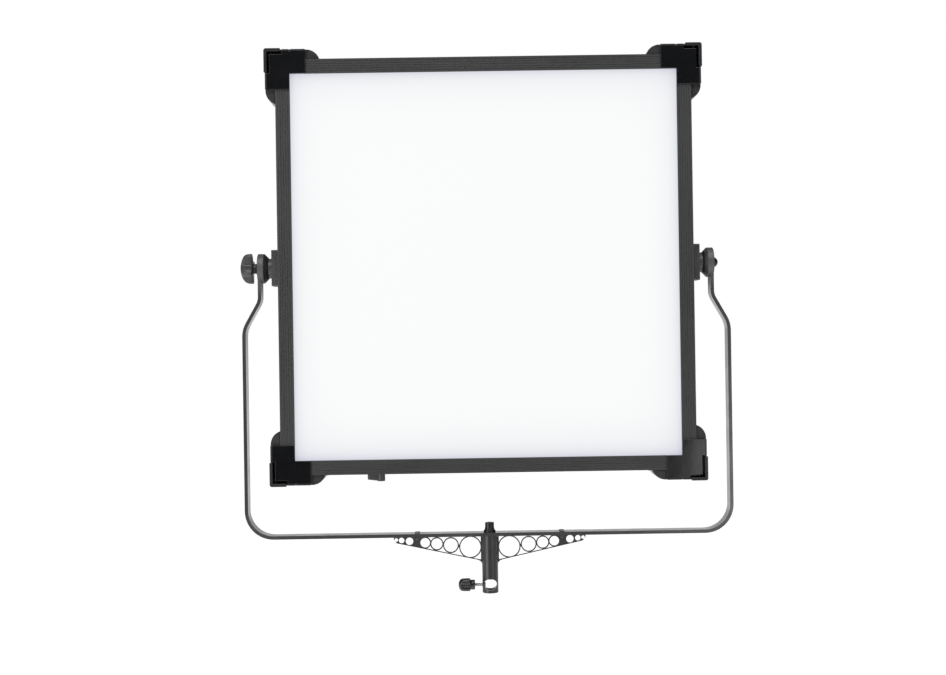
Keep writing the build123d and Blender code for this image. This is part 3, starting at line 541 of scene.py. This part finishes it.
def plate_graphics():
    """Printed ticks round both knobs, plain symbols beside the buttons, and lines over the sockets
    and the switch."""
    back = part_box("control_plate")[1].y
    ink = bmesh.new()
    for node in ("dimmer_knob", "colour_knob"):
        lo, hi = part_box(node)
        hub = Vector(((lo.x + hi.x) / 2, back, (lo.z + hi.z) / 2))
        reach = (hi.x - lo.x) / 2 + 0.004
        for k in range(11):
            long = 0.0016 if k % 5 == 0 else 0.0009
            tick = hub + Vector((0, 0, reach + long))
            bar(ink, tick, (INK_LINE, INK, long), math.radians(27 * (k - 5)), hub)
    lo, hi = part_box("menu_button")
    x, z = hi.x + 0.0045, (lo.z + hi.z) / 2
    for k in (-1, 0, 1):
        bar(ink, Vector((x, back, z + 0.0016 * k)), (0.0022, INK, 0.0003))
    lo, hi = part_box("mode_button")
    hub = Vector((hi.x + 0.0045, back, (lo.z + hi.z) / 2))
    for k in range(8):
        bar(ink, hub + Vector((0, 0, 0.0022)), (0.0003, INK, 0.0006), math.radians(45 * k), hub)
    for node in ("power_inlet", "power_switch_frame"):
        lo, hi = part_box(node)
        over = Vector(((lo.x + hi.x) / 2, back, hi.z + 0.004))
        bar(ink, over, ((hi.x - lo.x) * 0.3, INK, INK_LINE))
    lo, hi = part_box("data_sockets")
    for x, marks in ((hi.x - 0.013, 1), (lo.x + 0.013, 2)):
        for k in range(marks):
            bar(ink, Vector((x, back, hi.z + 0.004 + 0.0015 * k)), (0.004, INK, INK_LINE))
    add_mesh("plate_ticks", ink, MATERIALS["white_ink"], "panel")


def display_graphics():
    """Lit bar graphs on the display: one per control, with an outline."""
    lo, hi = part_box("display_window")
    back = hi.y
    wide, high = (hi.x - lo.x) / 2 - 0.007, (hi.z - lo.z) / 2 - 0.007
    middle = Vector(((lo.x + hi.x) / 2, back, (lo.z + hi.z) / 2))
    lit = bmesh.new()
    for row, share in ((1, 8), (-1, 5)):
        for k in range(10):
            size = 0.45 if k < share else 0.12
            place = middle + Vector((-(k - 4.5) * wide * 0.2, 0, row * high * 0.42))
            bar(lit, place, (wide * 0.06, INK, high * 0.26 * size / 0.45))
    for side in (-1, 1):
        bar(lit, middle + Vector((0, 0, side * high)), (wide * 1.06, INK, 0.0002))
        bar(lit, middle + Vector((side * wide * 1.06, 0, 0)), (0.0002, INK, high))
    add_mesh("display_marks", lit, MATERIALS["display_glow"], "panel")


# ---------------------------------------------------------------- floor, lights, camera

def make_floor():
    bpy.ops.mesh.primitive_plane_add(size=60, location=(0, 26, -0.9))
    floor = bpy.context.object
    floor.name = "studio_floor"
    p = Paint("floor_paint", (0.86, 0.86, 0.86), 0.75)
    p.set_color(p.shade(p.noise(3, 3), 0.985, 1.015))
    p.shader.inputs["Emission Color"].default_value = (1, 1, 1, 1)
    p.shader.inputs["Emission Strength"].default_value = 0.76
    floor.data.materials.append(p.mat)


def make_world():
    """White to the camera. To the object: a white wall straight behind, dim elsewhere, lighter above."""
    world = bpy.data.worlds.new("studio")
    bpy.context.scene.world = world
    world.use_nodes = True
    tree = world.node_tree
    tree.nodes.clear()

    def ramp(value, low, high, to_low, to_high):
        made = tree.nodes.new("ShaderNodeMapRange")
        made.interpolation_type = "SMOOTHSTEP"
        limits = {"From Min": low, "From Max": high, "To Min": to_low, "To Max": to_high}
        for socket, number in limits.items():
            made.inputs[socket].default_value = number
        tree.links.new(value, made.inputs["Value"])
        return made.outputs["Result"]

    coords = tree.nodes.new("ShaderNodeTexCoord")
    split = tree.nodes.new("ShaderNodeSeparateXYZ")
    tree.links.new(coords.outputs["Generated"], split.inputs[0])
    total = tree.nodes.new("ShaderNodeMath")
    total.operation = "ADD"
    tree.links.new(ramp(split.outputs["Y"], 0.82, 0.95, 0.0, 1.0), total.inputs[0])
    tree.links.new(ramp(split.outputs["Z"], 0.1, 1.0, 0.04, 0.5), total.inputs[1])
    soft = tree.nodes.new("ShaderNodeBackground")
    tree.links.new(total.outputs[0], soft.inputs["Strength"])
    seen = tree.nodes.new("ShaderNodeBackground")
    seen.inputs["Color"].default_value = (1, 1, 1, 1)
    path = tree.nodes.new("ShaderNodeLightPath")
    mix = tree.nodes.new("ShaderNodeMixShader")
    tree.links.new(path.outputs["Is Camera Ray"], mix.inputs["Fac"])
    tree.links.new(soft.outputs[0], mix.inputs[1])
    tree.links.new(seen.outputs[0], mix.inputs[2])
    out = tree.nodes.new("ShaderNodeOutputWorld")
    tree.links.new(mix.outputs[0], out.inputs["Surface"])


def area_light(name, place, target, size, power):
    data = bpy.data.lights.new(name, "AREA")
    data.shape = "RECTANGLE"
    data.size, data.size_y = size
    data.energy = power
    light = bpy.data.objects.new(name, data)
    light.location = place
    light.rotation_euler = (Vector(target) - Vector(place)).to_track_quat("-Z", "Y").to_euler()
    bpy.context.scene.collection.objects.link(light)


def make_lights():
    middle = (0, 0, 0.5)
    area_light("soft_left", (-2.4, -2.4, 0.6), middle, (1.8, 3.0), 66)
    area_light("soft_right", (2.3, -2.5, 0.6), middle, (1.0, 3.0), 14)
    area_light("soft_top", (0.0, -1.4, 2.8), middle, (2.4, 1.6), 60)
    area_light("low_card", (1.7, -5.3, -0.3), (0.3, 0, 0.3), (1.1, 0.9), 8)


CAMERA = {"place": (-0.0385, -2.65, 0.4406), "yaw": 0.00547, "pitch": 0.00247, "roll": 0.0151, "lens": 57.5}


def make_camera():
    """Camera a little left of and below the panel's middle, rolled under one degree."""
    data = bpy.data.cameras.new("camera")
    data.lens = CAMERA["lens"]
    data.sensor_width = 36.0
    data.clip_end = 200
    camera = bpy.data.objects.new("camera", data)
    turn = Matrix.Rotation(-CAMERA["yaw"], 4, "Z") @ Matrix.Rotation(math.pi / 2 + CAMERA["pitch"], 4, "X")
    roll = Matrix.Rotation(-CAMERA["roll"], 4, "Z")
    camera.matrix_world = Matrix.Translation(CAMERA["place"]) @ turn @ roll
    bpy.context.scene.collection.objects.link(camera)
    bpy.context.scene.camera = camera


for name, obj in NODES.items():
    for start, width in BEVELS.items():
        if name.startswith(start):
            soften(obj, width)

lobed_knob("tilt_knob_grip", "tilt_knob", side=(0, -0.3746, 0.9272), tip=0.0281, valley=0.0142,
           fullness=1.5, neck=0.0076, dome=0.0455, material="knob_plastic")
lobed_knob("clamp_knob_grip", "clamp_knob", side=(0, -0.707, 0.707), tip=0.0128, valley=0.0084,
           fullness=3.0, neck=0.008, dome=0.016, material="clamp_plastic")
thread("clamp_thread", "clamp_stud", "clamp_knob", pitch=0.001, depth=0.0004, material="stud_steel")
ridged_knob("dimmer_knob_grip", "dimmer_knob", 30)
ridged_knob("colour_knob_grip", "colour_knob", 30)
plate_graphics()
display_graphics()

make_floor()
make_world()
make_lights()
make_camera()
bpy.context.scene.view_settings.view_transform = "Standard"
